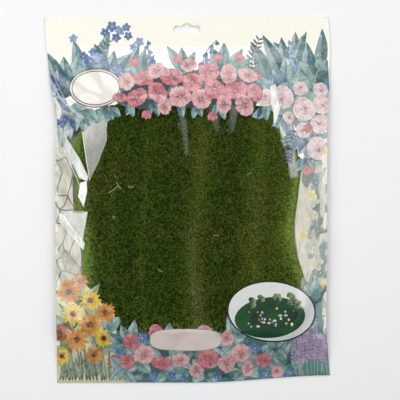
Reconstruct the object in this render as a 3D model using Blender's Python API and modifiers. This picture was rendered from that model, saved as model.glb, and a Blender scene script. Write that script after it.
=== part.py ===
"""A bagged landscape moss mat: a printed film header bag with a folded mat in it, lying on its back.

Metres, +Z up. The header is towards +Y and the printed face looks up. The origin is the middle of the
pack's footprint, on the surface that it lies on.
"""
import math

import bmesh
import bpy
import numpy as np

# Bag, as filled: its edges follow these stations of y, left edge and right edge
BAG_EDGES = (
    (0.2130, -0.1667, 0.1641),
    (0.1783, -0.1639, 0.1667),
    (0.1390, -0.1601, 0.1656),
    (0.0980, -0.1519, 0.1633),
    (0.0400, -0.1531, 0.1625),
    (-0.0580, -0.1531, 0.1625),
    (-0.1500, -0.1521, 0.1617),
    (-0.2130, -0.1514, 0.1659),
)
BAG_TOP = BAG_EDGES[0][0]
BAG_BOTTOM = BAG_EDGES[-1][0]
HEADER_HEIGHT = 0.035
FILM = 0.0004
GAP = 0.0003
WELD_WIDTH = 0.005
# The bottom edge runs up to its right corner from here
BOTTOM_RISE = 0.0085
BOTTOM_RISE_FROM = 0.011

# Side welds stand at this height beside the mat, and lie down towards the header and the bottom edge
WELD_HEIGHT = 0.007
WELD_FALL_TOP = (0.080, 0.170)
WELD_FALL_BOTTOM = (-0.205, -0.140)
TURN_UP_POWER = 1.8

# Hang slot, with a round hump in the middle of its upper side
SLOT_WIDTH = 0.031
SLOT_HEIGHT = 0.0076
SLOT_X = -0.0008
SLOT_Y = 0.1985
HUMP_RADIUS = 0.0052
HUMP_RAISE = 0.0014
SLOT_SIDES = 24
SLOT_CUT_DEPTH = 0.02
MERGE_DISTANCE = 0.00001

# Mat: its outline from above, as stations of y, left side and right side
MAT_EDGES = (
    (0.1180, -0.0909, 0.0871),
    (0.0950, -0.1149, 0.1087),
    (0.0580, -0.1330, 0.1300),
    (0.0200, -0.1305, 0.1325),
    (-0.0120, -0.1300, 0.1265),
    (-0.0380, -0.1245, 0.1235),
    (-0.0600, -0.1215, 0.1268),
    (-0.0990, -0.1220, 0.1371),
    (-0.1350, -0.1180, 0.1376),
    (-0.1550, -0.1059, 0.1261),
)
MAT_TOP = MAT_EDGES[0][0]
MAT_BOTTOM = MAT_EDGES[-1][0]
SHEET = 0.008
FOLD_GAP = 0.005
MIDDLE_GAP = 0.0015
END_THINNING = 0.35
END_LENGTH = 0.045
DIP_REACH = 0.060
FLAP_SLIT = 0.006
FLAP_SLIT_X = 0.005
# Soft creases that run down the front face: x, half width and height
CREASES = ((-0.049, 0.009, 0.0006), (0.005, 0.012, 0.0012), (0.082, 0.013, 0.0010))

# Looks of the pieces: colour, roughness, see-through share and transmission
PRINTED_FILM = ("printed film", (0.86, 0.87, 0.80), 0.14, 0.45, 0.6)
BACK_FILM = ("back film", (0.86, 0.83, 0.74), 0.3, 1.0, 0.0)
MOSS_PILE = ("moss pile", (0.045, 0.075, 0.014), 0.85, 1.0, 0.0)

# Room between the mat and the film over it
CLEARANCE = 0.0009
FLOOR_SAMPLES = 7
DRAPE_ROUNDS = 600

# Grids: distances in from the side edges and along the pack, closer together where the film bends
SIDE_STEPS = (0.0, WELD_WIDTH, 0.009, 0.013, 0.017, 0.022, 0.029, 0.038)
FRONT_MIDDLE_CELLS = 10
BACK_SIDE_STEPS = (0.0, WELD_WIDTH, 0.010, 0.015, 0.0195)
BACK_MIDDLE_CELLS = 3
LENGTH_STEPS = (0.0, WELD_WIDTH, 0.016, 0.028, 0.040, 0.048, 0.056, 0.064, 0.074, 0.090, 0.112,
                0.136, 0.160, 0.184, 0.208, 0.232, 0.256, 0.276, 0.294, 0.308, 0.318, 0.328,
                0.336, 0.348, 0.362, 0.377, 0.3913)
HEADER_ROW = 2
FLAP_CELLS = 3
FOLD_CELLS = 6
FACE_CELLS = 14
MAT_ROWS = 18


def clear_scene():
    """Start from an empty scene."""
    for obj in list(bpy.data.objects):
        bpy.data.objects.remove(obj, do_unlink=True)


def collection(name):
    """A new collection in the scene."""
    made = bpy.data.collections.new(name)
    bpy.context.scene.collection.children.link(made)
    return made


def material(name, colour, roughness, alpha, transmission):
    """A Principled material of one piece."""
    made = bpy.data.materials.new(name)
    made.use_nodes = True
    shader = made.node_tree.nodes["Principled BSDF"]
    shader.inputs["Base Color"].default_value = (*colour, 1.0)
    shader.inputs["Roughness"].default_value = roughness
    shader.inputs["Metallic"].default_value = 0.0
    shader.inputs["Alpha"].default_value = alpha
    shader.inputs["Transmission Weight"].default_value = transmission
    made.diffuse_color = (*colour, 1.0)
    return made


def ease(t):
    """A smooth step from 0 to 1."""
    t = min(max(t, 0.0), 1.0)
    return t * t * (3.0 - 2.0 * t)


def through(stations, column, y):
    """The smooth curve through one column of the stations, at y."""
    rows = sorted(stations)
    ys = [row[0] for row in rows]
    values = [row[column] for row in rows]
    slopes = np.gradient(values, ys)
    y = min(max(y, ys[0]), ys[-1])
    after = min(int(np.searchsorted(ys, y, side="right")), len(ys) - 1)
    before = after - 1
    span = ys[after] - ys[before]
    t = (y - ys[before]) / span
    blend = ease(t)
    rise = slopes[before] * (t - 2 * t * t + t ** 3)
    settle = slopes[after] * (t ** 3 - t * t)
    return values[before] * (1 - blend) + values[after] * blend + span * (rise + settle)


def weld_height(y):
    """Height of the weld round the bag, at y up the pack."""
    top = (y - WELD_FALL_TOP[0]) / (WELD_FALL_TOP[1] - WELD_FALL_TOP[0])
    bottom = (y - WELD_FALL_BOTTOM[0]) / (WELD_FALL_BOTTOM[1] - WELD_FALL_BOTTOM[0])
    return WELD_HEIGHT * (1 - ease(top)) * ease(bottom)


def bag_points(side_steps, middle_cells):
    """The bag's grid seen from above: a table of x and y for each row and column."""
    rows = []
    lengths = list(LENGTH_STEPS)
    header_step = HEADER_HEIGHT / HEADER_ROW
    for i in range(HEADER_ROW):
        lengths.append(BAG_TOP - BAG_BOTTOM - HEADER_HEIGHT + (i + 1) * header_step)
    for length in lengths:
        y = BAG_BOTTOM + length
        left = through(BAG_EDGES, 1, y)
        right = through(BAG_EDGES, 2, y)
        inner = np.linspace(left + side_steps[-1], right - side_steps[-1], middle_cells + 1)
        xs = [left + step for step in side_steps[:-1]]
        xs += list(inner)
        xs += [right - step for step in reversed(side_steps[:-1])]
        row = []
        for x in xs:
            rise = BOTTOM_RISE * ease((x - BOTTOM_RISE_FROM) / (right - BOTTOM_RISE_FROM))
            row.append((x, y + rise * (BAG_TOP - y) / (BAG_TOP - BAG_BOTTOM)))
        rows.append(row)
    return np.array(rows)


def grid_mesh(name, points):
    """A grid primitive whose corners are moved to the table of points."""
    rows, columns = points.shape[:2]
    bm = bmesh.new()
    bmesh.ops.create_grid(bm, x_segments=columns - 1, y_segments=rows - 1, size=0.5)
    for vert in bm.verts:
        column = round((vert.co.x + 0.5) * (columns - 1))
        row = round((vert.co.y + 0.5) * (rows - 1))
        vert.co = points[row, column]
    mesh = bpy.data.meshes.new(name)
    bm.to_mesh(mesh)
    bm.free()
    mesh.shade_smooth()
    return mesh


def shell(name, points, thickness, offset, target, finish):
    """An open sheet through the points, given its thickness."""
    obj = bpy.data.objects.new(name, grid_mesh(name, points))
    target.objects.link(obj)
    solid = obj.modifiers.new("thickness", "SOLIDIFY")
    solid.thickness = thickness
    solid.offset = offset
    solid.use_even_offset = True
    obj.data.materials.append(finish)
    return obj


def mat_section(y):
    """The mat's section at y: outer sides, middle of the sheet at the back, and its rise at the folds."""
    left = through(MAT_EDGES, 1, y)
    right = through(MAT_EDGES, 2, y)
    low = FILM + GAP + SHEET / 2
    near_end = min(MAT_TOP - y, y - MAT_BOTTOM) / END_LENGTH
    thin = 1 - END_THINNING * (1 - ease(near_end))
    rise = SHEET + FOLD_GAP * thin
    return left, right, low, rise


def face_height(x, y):
    """Height of the middle of the sheet on the mat's front face."""
    left, right, low, rise = mat_section(y)
    inward = min(x - left, right - x)
    dip = (low + rise) - (low + SHEET + MIDDLE_GAP)
    height = low + rise - dip * ease((inward - rise) / DIP_REACH)
    for place, half_width, crest in CREASES:
        height += crest * math.exp(-((x - place) / half_width) ** 2)
    return height


def mat_over(x, y):
    """Highest point of the mat over x, y, or None beside it."""
    if not MAT_BOTTOM <= y <= MAT_TOP:
        return None
    left, right, low, rise = mat_section(y)
    if not left <= x <= right:
        return None
    radius = (rise + SHEET) / 2
    inward = min(x - left, right - x)
    if inward >= radius:
        return face_height(x, y) + SHEET / 2
    return low + rise / 2 + math.sqrt(radius ** 2 - (radius - inward) ** 2)


def film_floor(x, y):
    """Lowest height that the front film may have at each corner of its grid.

    It is the top of the mat anywhere in the cells round the corner, so no facet cuts the mat.
    """
    rows, columns = x.shape
    floor = np.zeros(x.shape)
    for row in range(1, rows - 1):
        for column in range(1, columns - 1):
            across = np.linspace(x[row, column - 1], x[row, column + 1], FLOOR_SAMPLES)
            along = np.linspace(y[row - 1, column], y[row + 1, column], FLOOR_SAMPLES)
            over = [mat_over(px, py) for px in across for py in along]
            over = [height for height in over if height is not None]
            if over:
                floor[row, column] = max(over) + CLEARANCE
    return floor


def front_points():
    """The front panel's underside, stretched from weld to weld over the mat."""
    plan = bag_points(SIDE_STEPS, FRONT_MIDDLE_CELLS)
    x, y = plan[..., 0], plan[..., 1]
    heights = np.vectorize(weld_height)(y) + FILM + GAP
    least = film_floor(x, y)
    inside = np.zeros(x.shape, bool)
    inside[2:-HEADER_ROW - 1, 2:-2] = True
    across = np.diff(x, axis=1)
    along = np.diff(y, axis=0)
    left, right = 1 / across[1:-1, :-1], 1 / across[1:-1, 1:]
    below, above = 1 / along[:-1, 1:-1], 1 / along[1:, 1:-1]
    for _ in range(DRAPE_ROUNDS):
        pull = heights[1:-1, :-2] * left + heights[1:-1, 2:] * right
        pull += heights[:-2, 1:-1] * below + heights[2:, 1:-1] * above
        level = np.maximum(pull / (left + right + below + above), least[1:-1, 1:-1])
        heights[1:-1, 1:-1] = np.where(inside[1:-1, 1:-1], level, heights[1:-1, 1:-1])
    return np.dstack((x, y, heights))


def back_points():
    """The back panel's underside: flat where it is lain on, and turned up to the side welds."""
    plan = bag_points(BACK_SIDE_STEPS, BACK_MIDDLE_CELLS)
    heights = np.zeros(plan.shape[:2])
    flat_from = BACK_SIDE_STEPS[-1]
    for row in range(plan.shape[0]):
        left, right = plan[row, 0, 0], plan[row, -1, 0]
        for column in range(plan.shape[1]):
            x, y = plan[row, column]
            inward = max(min(x - left, right - x) - WELD_WIDTH, 0.0)
            t = 1 - min(inward / (flat_from - WELD_WIDTH), 1.0)
            heights[row, column] = weld_height(y) * t ** TURN_UP_POWER
    return np.dstack((plan[..., 0], plan[..., 1], heights))


def mat_points():
    """Middle of the mat's sheet, row by row: back flap, fold, front face, fold, back flap."""
    rows = []
    for y in np.linspace(MAT_BOTTOM, MAT_TOP, MAT_ROWS + 1):
        left, right, low, rise = mat_section(y)
        inset = (rise + SHEET) / 2
        turn = rise / 2
        row = []
        for x in np.linspace(FLAP_SLIT_X - FLAP_SLIT / 2, left + inset, FLAP_CELLS + 1)[:-1]:
            row.append((x, y, low))
        for angle in np.linspace(0.0, math.pi, FOLD_CELLS + 1)[:-1]:
            row.append((left + inset - turn * math.sin(angle), y, low + turn - turn * math.cos(angle)))
        for x in np.linspace(left + inset, right - inset, FACE_CELLS + 1):
            row.append((x, y, face_height(x, y)))
        for angle in np.linspace(math.pi, 0.0, FOLD_CELLS + 1)[1:]:
            row.append((right - inset + turn * math.sin(angle), y, low + turn - turn * math.cos(angle)))
        for x in np.linspace(right - inset, FLAP_SLIT_X + FLAP_SLIT / 2, FLAP_CELLS + 1)[1:]:
            row.append((x, y, low))
        rows.append(row)
    return np.array(rows)


def slot_cutter(target):
    """The hang slot's cutter: a slot with round ends and a round hump, as one upright body."""
    outline = []
    end = SLOT_HEIGHT / 2
    reach = SLOT_WIDTH / 2 - end
    for centre, start in ((reach, -90.0), (-reach, 90.0)):
        for step in range(SLOT_SIDES // 2 + 1):
            angle = math.radians(start + 360.0 * step / SLOT_SIDES)
            outline.append((centre + end * math.cos(angle), end * math.sin(angle)))
        if centre > 0:
            half = math.acos((end - HUMP_RAISE) / HUMP_RADIUS)
            for angle in np.linspace(math.pi / 2 - half, math.pi / 2 + half, SLOT_SIDES // 2):
                outline.append((HUMP_RADIUS * math.cos(angle), HUMP_RAISE + HUMP_RADIUS * math.sin(angle)))
    curve = bpy.data.curves.new("slot_outline", "CURVE")
    curve.dimensions = "2D"
    curve.fill_mode = "BOTH"
    curve.extrude = SLOT_CUT_DEPTH / 2
    spline = curve.splines.new("POLY")
    spline.points.add(len(outline) - 1)
    for point, (x, y) in zip(spline.points, outline):
        point.co = (x, y, 0.0, 1.0)
    spline.use_cyclic_u = True
    flat = bpy.data.objects.new("slot_outline", curve)
    target.objects.link(flat)
    bpy.context.view_layer.update()
    graph = bpy.context.evaluated_depsgraph_get()
    mesh = bpy.data.meshes.new_from_object(flat.evaluated_get(graph))
    bpy.data.objects.remove(flat, do_unlink=True)
    bm = bmesh.new()
    bm.from_mesh(mesh)
    bmesh.ops.remove_doubles(bm, verts=bm.verts, dist=MERGE_DISTANCE)
    bmesh.ops.recalc_face_normals(bm, faces=bm.faces)
    bm.to_mesh(mesh)
    bm.free()
    cutter = bpy.data.objects.new("slot_cutter", mesh)
    cutter.location = (SLOT_X, SLOT_Y, 0.0)
    cutter.hide_render = True
    cutter.display_type = "WIRE"
    target.objects.link(cutter)
    return cutter


def cut(obj, cutter):
    """Cut one body out of another."""
    boolean = obj.modifiers.new("slot", "BOOLEAN")
    boolean.operation = "DIFFERENCE"
    boolean.solver = "EXACT"
    boolean.object = cutter


def build():
    """The whole pack."""
    clear_scene()
    parts = collection("bagged_moss_mat")
    cutters = collection("cutters")
    slot = slot_cutter(cutters)
    shell("moss_mat", mat_points(), SHEET, 0.0, parts, material(*MOSS_PILE))
    for name, points, look in (("bag_front", front_points(), PRINTED_FILM),
                               ("bag_back", back_points(), BACK_FILM)):
        panel = shell(name, points, FILM, 1.0, parts, material(*look))
        cut(panel, slot)


build()
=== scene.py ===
"""Looks of the bagged landscape moss mat: printed film, its crumples, and the pile of the mat inside.

Metres, +Z up, header towards +Y. The print is laid out in millimetres from the middle of the pack.
"""
import cmath
import math
import random

import bmesh
import bpy
import numpy as np
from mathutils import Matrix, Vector
from mathutils.bvhtree import BVHTree
from mathutils.geometry import delaunay_2d_cdt


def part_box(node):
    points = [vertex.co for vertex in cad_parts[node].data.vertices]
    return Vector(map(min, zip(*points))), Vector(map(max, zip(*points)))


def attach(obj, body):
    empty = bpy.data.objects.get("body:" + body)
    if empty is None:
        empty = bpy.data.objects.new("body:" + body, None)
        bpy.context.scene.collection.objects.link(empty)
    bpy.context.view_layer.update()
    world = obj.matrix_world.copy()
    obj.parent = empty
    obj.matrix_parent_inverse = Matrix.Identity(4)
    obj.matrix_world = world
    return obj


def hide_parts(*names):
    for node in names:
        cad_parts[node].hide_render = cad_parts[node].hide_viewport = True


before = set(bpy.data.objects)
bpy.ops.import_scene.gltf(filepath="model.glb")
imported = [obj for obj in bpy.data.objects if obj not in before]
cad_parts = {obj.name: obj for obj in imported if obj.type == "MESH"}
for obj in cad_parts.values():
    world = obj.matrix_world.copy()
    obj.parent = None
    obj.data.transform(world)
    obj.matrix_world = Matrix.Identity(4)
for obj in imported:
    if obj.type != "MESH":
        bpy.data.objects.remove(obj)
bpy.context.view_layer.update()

MM = 0.001
FULL_TURN = 2 * math.pi
# Rays that look for a surface are cast straight down from this height
SKY = 1.0
DOWN = Vector((0, 0, -1))

# Studio: the photograph's size in pixels, what one pixel covers, and the pixel over the pack's origin
PHOTO_SIZE = 400
PIXEL = 0.00116
ORIGIN_PIXEL = (187.3, 199.75)
CAMERA_HEIGHT = 1.7
FOCUS_HEIGHT = 0.01
SENSOR = 36.0
FLOOR_SIZE = 6.0
FLOOR_HEIGHT = -0.0004
# Each soft lamp's place, size and power
LAMPS = {
    "left softbox": ((-0.90, 0.10, 1.25), (0.6, 1.5), 6.0),
    "far left softbox": ((-1.15, -0.1, 1.25), (0.9, 1.7), 10.0),
    "right softbox": ((1.30, 0.1, 1.40), (1.2, 2.0), 18.5),
    "top softbox": ((0.0, 1.5, 1.35), (1.8, 1.0), 19.0),
}

# Film: walls, the spacing of its loose points in millimetres, and the grid that holds its heights
FRONT_WALL = 0.00015
BACK_WALL = 0.0003
FRONT_SPACING = 2.6
BACK_SPACING = 4.0
FIELD_STEP = 0.002
FRONT_MARGIN = 0.006
BACK_MARGIN = 0.004
FILM_CLEARANCE = 0.0004
LEAST_BESIDE_MAT = 0.0012
LOWEST_UPPER_FACE = 0.0009
TAUT_ROUNDS = 500
SEAL = 0.1783
SEAL_DEPTH = 0.0003
SEAL_WIDTH = 0.0016
# Where up the pack the film starts to gather and is fully gathered, and the same for the stiff header
GATHERED = (0.140, 0.155)
STIFF = (SEAL - 0.004, SEAL + 0.002)
# Heights at which the film beside the mat starts to hang loose, and is fully loose
LOOSE = (0.0009, 0.006)
# Each crumple's height, facet spacing, stretch along x and y, seed and rounds of softening; the streaks
# over the mat are as high as the room under the film lets them be
CRUMPLES = {
    "big": (0.0022, 0.028, (0.8, 1.2), 5, 1),
    "small": (0.0005, 0.012, (1.0, 1.2), 11, 1),
    "streaks": (1.0, 0.026, (0.7, 2.6), 43, 2),
    "across": (0.0006, 0.022, (2.2, 0.7), 21, 2),
    "header": (0.00014, 0.030, (1.6, 0.8), 31, 3),
    "gathers": (0.0003, 0.009, (0.8, 2.4), 53, 1),
}
# Slanting folds: their height and pitch, and the place that they all are to the left of
SLANT_HEIGHT = 0.0009
SLANT_PITCH = 0.034
SLANT_EDGE = -0.10

# Print: the width of a drawn outline in millimetres, and the strength that marks plainly laid ink
RIM_MM = 0.8
PLAIN = 2.0
# Painted glare where the crumpled film's folds catch the lamps, from the bottom up, by pixels of the
# photograph. A patch has its white share at its first and at its far corner and the millimetres over which
# its edge fades, a crease its white share and width
GLARE_UNDER_PRINT = (
    ("patch", (0.58, 0.22), 0.0, (81, 117), (107, 116), (107.5, 141), (99, 163), (90.5, 180)),
    ("patch", (0.45, 0.75), 0.0, (61, 141), (66, 137), (80, 158), (89, 177), (88, 181.5), (80, 178)),
    ("patch", (0.9, 0.95), 0.0, (81, 183), (87.5, 181), (88, 191), (84.5, 207), (79, 197)),
    ("patch", (0.45, 0.60), 0.0, (66, 213), (88.5, 212), (83, 243), (72, 229)),
    ("patch", (0.95, 0.9), 0.0, (59, 213), (64, 215), (85.5, 243), (84, 250), (75, 240), (60, 223)),
    ("patch", (0.15, 0.25), 2.0, (60, 255), (66, 250), (82, 268), (78, 276), (66, 272)),
    ("crease", 0.9, 1.0, (81, 117), (85.5, 150), (90.5, 181)),
    ("crease", 0.7, 0.9, (62, 146), (72, 166), (81, 186), (84, 207)),
    ("crease", 0.6, 0.8, (96, 116.5), (107, 116), (107.5, 128)),
    ("crease", 0.55, 0.8, (66, 213), (78, 211), (88.5, 212)),
    ("patch", (0.06, 0.05), 4.5, (176, 106), (182, 106), (189, 122), (190, 158), (184, 158)),
    ("patch", (0.05, 0.03), 4.0, (204, 100), (223, 99), (220, 134), (214, 134)),
    ("patch", (0.09, 0.04), 4.5, (228, 100), (242, 100), (236, 130), (228, 141)),
    ("patch", (0.015, 0.022), 6.0, (184, 226), (190, 226), (203, 318), (195, 320)),
    ("patch", (0.70, 0.50), 3.0, (273, 104), (290, 108), (297, 150), (282, 147)),
    ("patch", (0.34, 0.22), 3.0, (284, 148), (295, 150), (299, 178), (289, 180)),
    ("patch", (0.25, 0.35), 0.0, (318, 172), (326, 176), (325, 220), (320, 214)),
    ("patch", (0.20, 0.30), 0.0, (308, 232), (314, 228), (322, 262), (318, 270)),
)
GLARE_OVER_PRINT = (
    ("patch", (0.8, 0.9), 0.0, (270, 87), (275.5, 84), (277, 95), (279.5, 109), (277, 118), (273.5, 127),
     (273, 113), (270.5, 101)),
    ("crease", 0.5, 0.7, (50, 66), (58, 90), (78, 116)),
    ("crease", 0.5, 0.7, (52, 104), (64, 112), (81, 117)),
    ("crease", 0.6, 0.9, (49, 78), (61, 103), (84, 118)),
    ("crease", 0.55, 0.7, (58, 97), (80, 105), (106, 115)),
    ("crease", 0.5, 0.6, (68, 114), (84, 107), (99, 112)),
    ("crease", 0.6, 0.8, (300, 63), (296, 74), (302, 84)),
    ("crease", 0.5, 0.7, (318, 70), (312, 88), (316, 104)),
)
# Seeds of the prints and of the film's loose points
FRONT_SEED = 7
HEADER_SEED = 29
BACK_SEED = 17
SCATTER_SEED = 3

# Mat: its cut size before it was folded, and its pile
PILE_DEPTH = 0.0042
BLADE_WIDTH = 0.00042
PILE_FLOOR = 0.0006
TUFT = 0.0006
TUFT_TABLE = 991
TUFT_SEED = 77
ENDS_DEPTH_SHARE = 0.55
BACKING_DEPTH_SHARE = 0.75
FLAPS_BELOW = 0.0023
FACE, FOLDS, FLAPS, ENDS = range(4)
# Each pile piece's side of the mat, number of blades and seed
PILE_PIECES = {
    "pile_face_1": (FACE, 185000, 100),
    "pile_face_2": (FACE, 185000, 101),
    "pile_face_3": (FACE, 185000, 102),
    "pile_folds": (FOLDS, 70000, 110),
    "pile_flaps": (FLAPS, 60000, 120),
    "pile_ends": (ENDS, 16000, 130),
}
# Painted light and shade of the nap in bands down the mat: place and width in millimetres, and how much
# lighter
NAP_SHADE_BANDS = ((12, 12, 0.56), (80, 14, 0.56), (108, 12, 0.40), (-49, 4, 0.30), (-86, 6, 0.18),
             (47, 11, -0.08), (-22, 12, -0.06), (-66, 9, -0.08), (-108, 8, 0.16))
LIGHTEST_TONE = 0.84
STRAY_SHARE = 0.0004
FOLD_REACH_MM = 27
FOLD_ROWS = 60
# Places of the loose fibres, as pixels of the photograph
FIBRES = (((109, 193), (114, 190.5), (118, 186)), ((117, 182), (118, 186), (122, 189)),
          ((128, 186), (131, 188.5), (134, 186.5)), ((113, 215.5), (114, 217), (115.5, 219)),
          ((116, 215.8), (114, 217), (112.5, 218.4)), ((214, 236), (217, 234.5), (219, 236)),
          ((246, 176), (248, 173.5), (251, 173)), ((158, 268), (160, 271), (163, 271.5)))
FIBRE_RADIUS = 0.00025
FIBRE_SINK = 0.0003


def srgb(red, green, blue):
    """A colour given as it looks on a screen, 0 to 255, as linear light."""
    shares = [c / 255 for c in (red, green, blue)]
    return tuple(c / 12.92 if c <= 0.04045 else ((c + 0.055) / 1.055) ** 2.4 for c in shares)


# Inks of the printed border
CREAM = srgb(254, 251, 238)
PAPER = srgb(247, 243, 230)
OUTLINE = srgb(58, 62, 58)
ROSE = srgb(224, 138, 146)
DEEP_ROSE = srgb(202, 108, 120)
BLUSH = srgb(236, 192, 192)
TEAL = srgb(88, 142, 144)
DEEP_TEAL = srgb(30, 74, 88)
SEA = srgb(134, 178, 170)
MIST = srgb(184, 208, 206)
SLATE_BLUE = srgb(66, 100, 150)
BELL_BLUE = srgb(112, 146, 206)
PALE_BLUE = srgb(168, 192, 226)
LILAC = srgb(204, 178, 206)
PLUM = srgb(128, 100, 140)
STRAW = srgb(222, 190, 120)
PALE_STRAW = srgb(228, 212, 160)
SHELL = srgb(244, 228, 224)
MARIGOLD = srgb(238, 164, 50)
RUST = srgb(176, 92, 40)
LEMON = srgb(246, 222, 82)
BROWN = srgb(84, 52, 34)
SPRING = srgb(168, 180, 112)
FERN = srgb(104, 128, 78)
SAGE = srgb(178, 188, 156)
TWIG = srgb(146, 144, 142)
STONE = srgb(228, 225, 206)
SAND = srgb(244, 242, 226)
MOUND = srgb(4, 34, 18)
LAWN = srgb(16, 80, 42)
GAP_SHADE = srgb(60, 50, 46)
JOINT = srgb(96, 98, 102)
# White of the bare film's mirror, and of the painted glare on its folds
FILM_AND_GLARE_WHITE = srgb(252, 252, 247)
DRY_GRASS = srgb(206, 204, 168)
WASH_SHADE = (0.22, 0.26, 0.30)
# Inks of the bare plates and of the oval
BADGE = srgb(234, 230, 222)
BADGE_EDGE = srgb(226, 214, 208)
NAME_PLATE = srgb(218, 206, 198)
NAME_PLATE_RIM = srgb(150, 140, 134)
PICTURE_PAPER = srgb(220, 224, 221)
PICTURE_RIM = srgb(24, 32, 38)

# Inks that often go together, each pair a light or root ink and a dark or tip ink
LEAVES = ((SEA, TEAL), (TEAL, DEEP_TEAL))
BLUE_LEAVES = ((SLATE_BLUE, DEEP_TEAL), (TEAL, DEEP_TEAL), (SLATE_BLUE, DEEP_TEAL))

# Greens of the pile, from a blade's darkest tone to its lightest
PILE_GREENS = ((0.0, srgb(6, 38, 2)), (0.28, srgb(52, 117, 6)), (0.55, srgb(114, 166, 12)),
               (0.80, srgb(184, 212, 64)), (0.90, srgb(226, 226, 150)), (1.0, srgb(246, 242, 216)))


def select(*objects):
    """Make these the only selected objects, and the first one active."""
    for obj in bpy.context.selected_objects:
        obj.select_set(False)
    for obj in objects:
        obj.select_set(True)
    if objects:
        bpy.context.view_layer.objects.active = objects[0]


def merged_copy(node):
    """A copy of a solid's mesh with its loose triangles joined, as a bmesh."""
    bm = bmesh.new()
    bm.from_mesh(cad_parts[node].data)
    bmesh.ops.remove_doubles(bm, verts=bm.verts, dist=0.00002)
    bm.normal_update()
    return bm


def solid_tree(node):
    """A solid's surface, ready for rays."""
    bm = merged_copy(node)
    tree = BVHTree.FromBMesh(bm)
    bm.free()
    return tree


def add_object(name, mesh, *finishes):
    """A new object at the origin with its materials."""
    obj = bpy.data.objects.new(name, mesh)
    bpy.context.scene.collection.objects.link(obj)
    for finish in finishes:
        mesh.materials.append(finish)
    return obj


# Materials


def plug(tree, node, inputs):
    """Fill a node's inputs, each with a socket to link or with a number, colour or vector."""
    for key, value in inputs.items():
        socket = node.inputs[key]
        if isinstance(value, bpy.types.NodeSocket):
            tree.links.new(value, socket)
        elif isinstance(value, tuple) and socket.type == "RGBA":
            socket.default_value = (*value, 1.0)
        else:
            socket.default_value = value


def add_node(tree, kind, inputs=None, **settings):
    """A new node with its settings and its inputs."""
    node = tree.nodes.new("ShaderNode" + kind)
    for name, value in settings.items():
        setattr(node, name, value)
    plug(tree, node, inputs or {})
    return node


def new_material(name):
    """A new material, with its node tree and its shader."""
    made = bpy.data.materials.new(name)
    made.use_nodes = True
    return made, made.node_tree, made.node_tree.nodes["Principled BSDF"]


def new_group(name, inputs, output, kind):
    """A new shared effect, with its inputs, given as names and kinds, and its one output."""
    group = bpy.data.node_groups.new(name, "ShaderNodeTree")
    for socket, socket_kind in inputs.items():
        group.interface.new_socket(socket, in_out="INPUT", socket_type="NodeSocket" + socket_kind)
    group.interface.new_socket(output, in_out="OUTPUT", socket_type="NodeSocket" + kind)
    start, end = group.nodes.new("NodeGroupInput"), group.nodes.new("NodeGroupOutput")
    return group, start.outputs, end.inputs[output]


def math_node(tree, operation, first, second=None, clamp=False):
    """A Math node on one or two sockets or numbers."""
    inputs = {0: first} if second is None else {0: first, 1: second}
    return add_node(tree, "Math", inputs, operation=operation, use_clamp=clamp).outputs[0]


def mix_colour(tree, share, first, second, blend="MIX"):
    """A Mix node on colours."""
    inputs = {0: share, 6: first, 7: second}
    return add_node(tree, "Mix", inputs, data_type="RGBA", blend_type=blend).outputs[2]


def ranged(tree, value, low, high, to_low=0.0, to_high=1.0):
    """A Map Range node on a value."""
    return add_node(tree, "MapRange", {"Value": value, "From Min": low, "From Max": high,
                                       "To Min": to_low, "To Max": to_high}).outputs[0]


def object_noise(tree, scale, detail=3.0, stretch=(1, 1, 1), distortion=0.0):
    """Noise on the object's own coordinates."""
    place = add_node(tree, "TexCoord")
    mapping = add_node(tree, "Mapping", {"Vector": place.outputs["Object"], "Scale": stretch})
    noise = add_node(tree, "TexNoise", {"Vector": mapping.outputs[0], "Scale": scale, "Detail": detail,
                                        "Distortion": distortion})
    return noise.outputs["Fac"]


def film_wrinkle_group():
    """Fine wrinkles of thin film, shared by every film material: a bumped normal."""
    group, start, normal = new_group("film wrinkles", {"Strength": "Float", "Scale": "Float"},
                                     "Normal", "Vector")
    place = add_node(group, "TexCoord")
    folds = add_node(group, "TexNoise", {"Vector": place.outputs["Object"], "Scale": start["Scale"],
                                         "Detail": 3.0, "Distortion": 0.6}, noise_type="RIDGED_MULTIFRACTAL")
    bump = add_node(group, "Bump", {"Strength": start["Strength"], "Distance": 0.0006,
                                    "Height": folds.outputs["Fac"]})
    group.links.new(bump.outputs[0], normal)
    return group


def wrinkled(tree, wrinkles, strength, scale):
    """The normal of the shared film wrinkles, placed in one material."""
    placed = add_node(tree, "Group", {"Strength": strength, "Scale": scale}, node_tree=wrinkles)
    return placed.outputs["Normal"]


def watercolour_group():
    """Watercolour print, shared by both printed films: veins, washes and drawn outlines over an ink."""
    group, start, colour = new_group("watercolour print", {
        "Ink": "Color", "Outline": "Float", "Along": "Float", "Across": "Float", "Fade": "Float"},
        "Color", "Color")
    outline, along = start["Outline"], start["Along"]

    def times(first, second):
        return math_node(group, "MULTIPLY", first, second)

    # Plainly laid ink takes hardly any vein or wash
    painted = ranged(group, outline, 1.0, 1.5, 1.0, 0.06)
    # Veins fan out from the root of each petal or leaf
    fan = math_node(group, "ADD", times(start["Across"], 5.5), times(along, 2.0))
    veins = ranged(group, math_node(group, "COSINE", fan), 0.72, 1.0)
    veins = times(times(veins, ranged(group, along, 0.0, 0.9, 0.40, 0.06)), painted)
    wash_noise = object_noise(group, 160.0, 4.0, distortion=0.8)
    light = times(ranged(group, wash_noise, 0.46, 0.74, 0.0, 0.19), painted)
    dark = times(ranged(group, wash_noise, 0.54, 0.28, 0.13, 0.62), painted)
    washed = mix_colour(group, dark, mix_colour(group, light, start["Ink"], PAPER), WASH_SHADE, "MULTIPLY")
    # The outline bleeds a little into the paper
    bleed = times(object_noise(group, 700.0, 2.0), 0.5)
    line = ranged(group, math_node(group, "ADD", outline, bleed), 0.35, 0.85, 0.62, 0.0)
    finished = mix_colour(group, line, mix_colour(group, veins, washed, OUTLINE), OUTLINE)
    group.links.new(mix_colour(group, start["Fade"], finished, PAPER), colour)
    return group


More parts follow.
